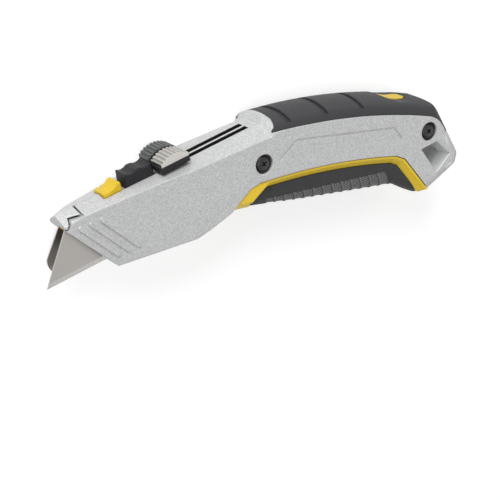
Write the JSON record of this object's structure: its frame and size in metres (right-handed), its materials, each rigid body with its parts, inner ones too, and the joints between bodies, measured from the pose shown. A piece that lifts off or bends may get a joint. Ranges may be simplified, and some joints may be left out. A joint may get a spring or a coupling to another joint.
{
  "type": "utility knife",
  "caption": "Twin-blade retractable utility knife with a cast metal body, thumb sliders, a straight and a hook blade, and a swing-out spare blade tray under the handle.",
  "frame": {"origin": "on the rest face of the right side, below the axis of the front body screw", "axes": "+X along the blade slide towards the tail, +Y towards the spine, +Z across the knife from its right side to its left side"},
  "size_m": [0.1911, 0.0674, 0.027],
  "materials": {
    "cast_body": "satin silver paint with a fine grain",
    "soft_black": "matt soft grip",
    "black_plastic": "matt",
    "yellow_plastic": "satin",
    "blade_steel": "ground",
    "spring_steel": "bright",
    "nickel_cap": "satin nickel",
    "dark_cap": "satin dark grey",
    "black_screw": "black oxide"
  },
  "bodies": {
    "body": {"left_body_shell": "cast_body", "right_body_shell": "cast_body", "blade_divider": "yellow_plastic", "thumb_pad": "black_plastic", "top_grip": "soft_black", "body_screws": "black_screw", "tray_hinge_pins": "spring_steel", "blade_release_spring": "spring_steel", "storage_button_spring": "spring_steel", "storage_latch": "spring_steel"},
    "left_carriage": {"left_blade_carrier": "black_plastic", "straight_blade": "blade_steel", "left_blade_clip": "spring_steel", "left_slider_spring": "spring_steel"},
    "right_carriage": {"right_blade_carrier": "black_plastic", "hook_blade": "blade_steel", "right_blade_clip": "spring_steel", "right_slider_spring": "spring_steel"},
    "left_slider": {"left_slider_base": "black_plastic", "left_slider_cap": "nickel_cap"},
    "right_slider": {"right_slider_base": "black_plastic", "right_slider_cap": "dark_cap"},
    "release_button": {"blade_release_button": "yellow_plastic"},
    "storage_release": {"storage_button": "yellow_plastic"},
    "tray": {"storage_tray": "yellow_plastic", "tray_grip": "soft_black", "spare_straight_blades": "blade_steel", "spare_hook_blades": "blade_steel"}
  },
  "joints": [
    {"name": "left_blade_slide", "type": "slide", "parent": "body", "child": "left_carriage", "axis": [1, 0, 0], "range_m": [0, 0.032]},
    {"name": "right_blade_slide", "type": "slide", "parent": "body", "child": "right_carriage", "axis": [1, 0, 0], "range_m": [0, 0.032]},
    {"name": "left_slider_press", "type": "slide", "parent": "left_carriage", "child": "left_slider", "axis": [0, -1, 0], "range_m": [0, 0.001], "stiffness_N_per_m": 1500, "springref_m": -0.001, "deforming": ["left_slider_spring"]},
    {"name": "right_slider_press", "type": "slide", "parent": "right_carriage", "child": "right_slider", "axis": [0, -1, 0], "range_m": [0, 0.001], "stiffness_N_per_m": 1500, "springref_m": -0.001, "deforming": ["right_slider_spring"]},
    {"name": "blade_release_press", "type": "slide", "parent": "body", "child": "release_button", "axis": [0, -1, 0], "range_m": [0, 0.0015], "stiffness_N_per_m": 1200, "springref_m": -0.001, "deforming": ["blade_release_spring"]},
    {"name": "storage_release_press", "type": "slide", "parent": "body", "child": "storage_release", "axis": [-0.4302, -0.9027, 0], "range_m": [0, 0.0015], "stiffness_N_per_m": 1200, "springref_m": -0.001, "deforming": ["storage_button_spring", "storage_latch"]},
    {"name": "tray_swing", "type": "hinge", "parent": "body", "child": "tray", "pos_m": [-0.0204, -0.0095, 0.0135], "axis": [0, 0, -1], "range_deg": [0, 35], "deforming": ["storage_latch"]}
  ]
}
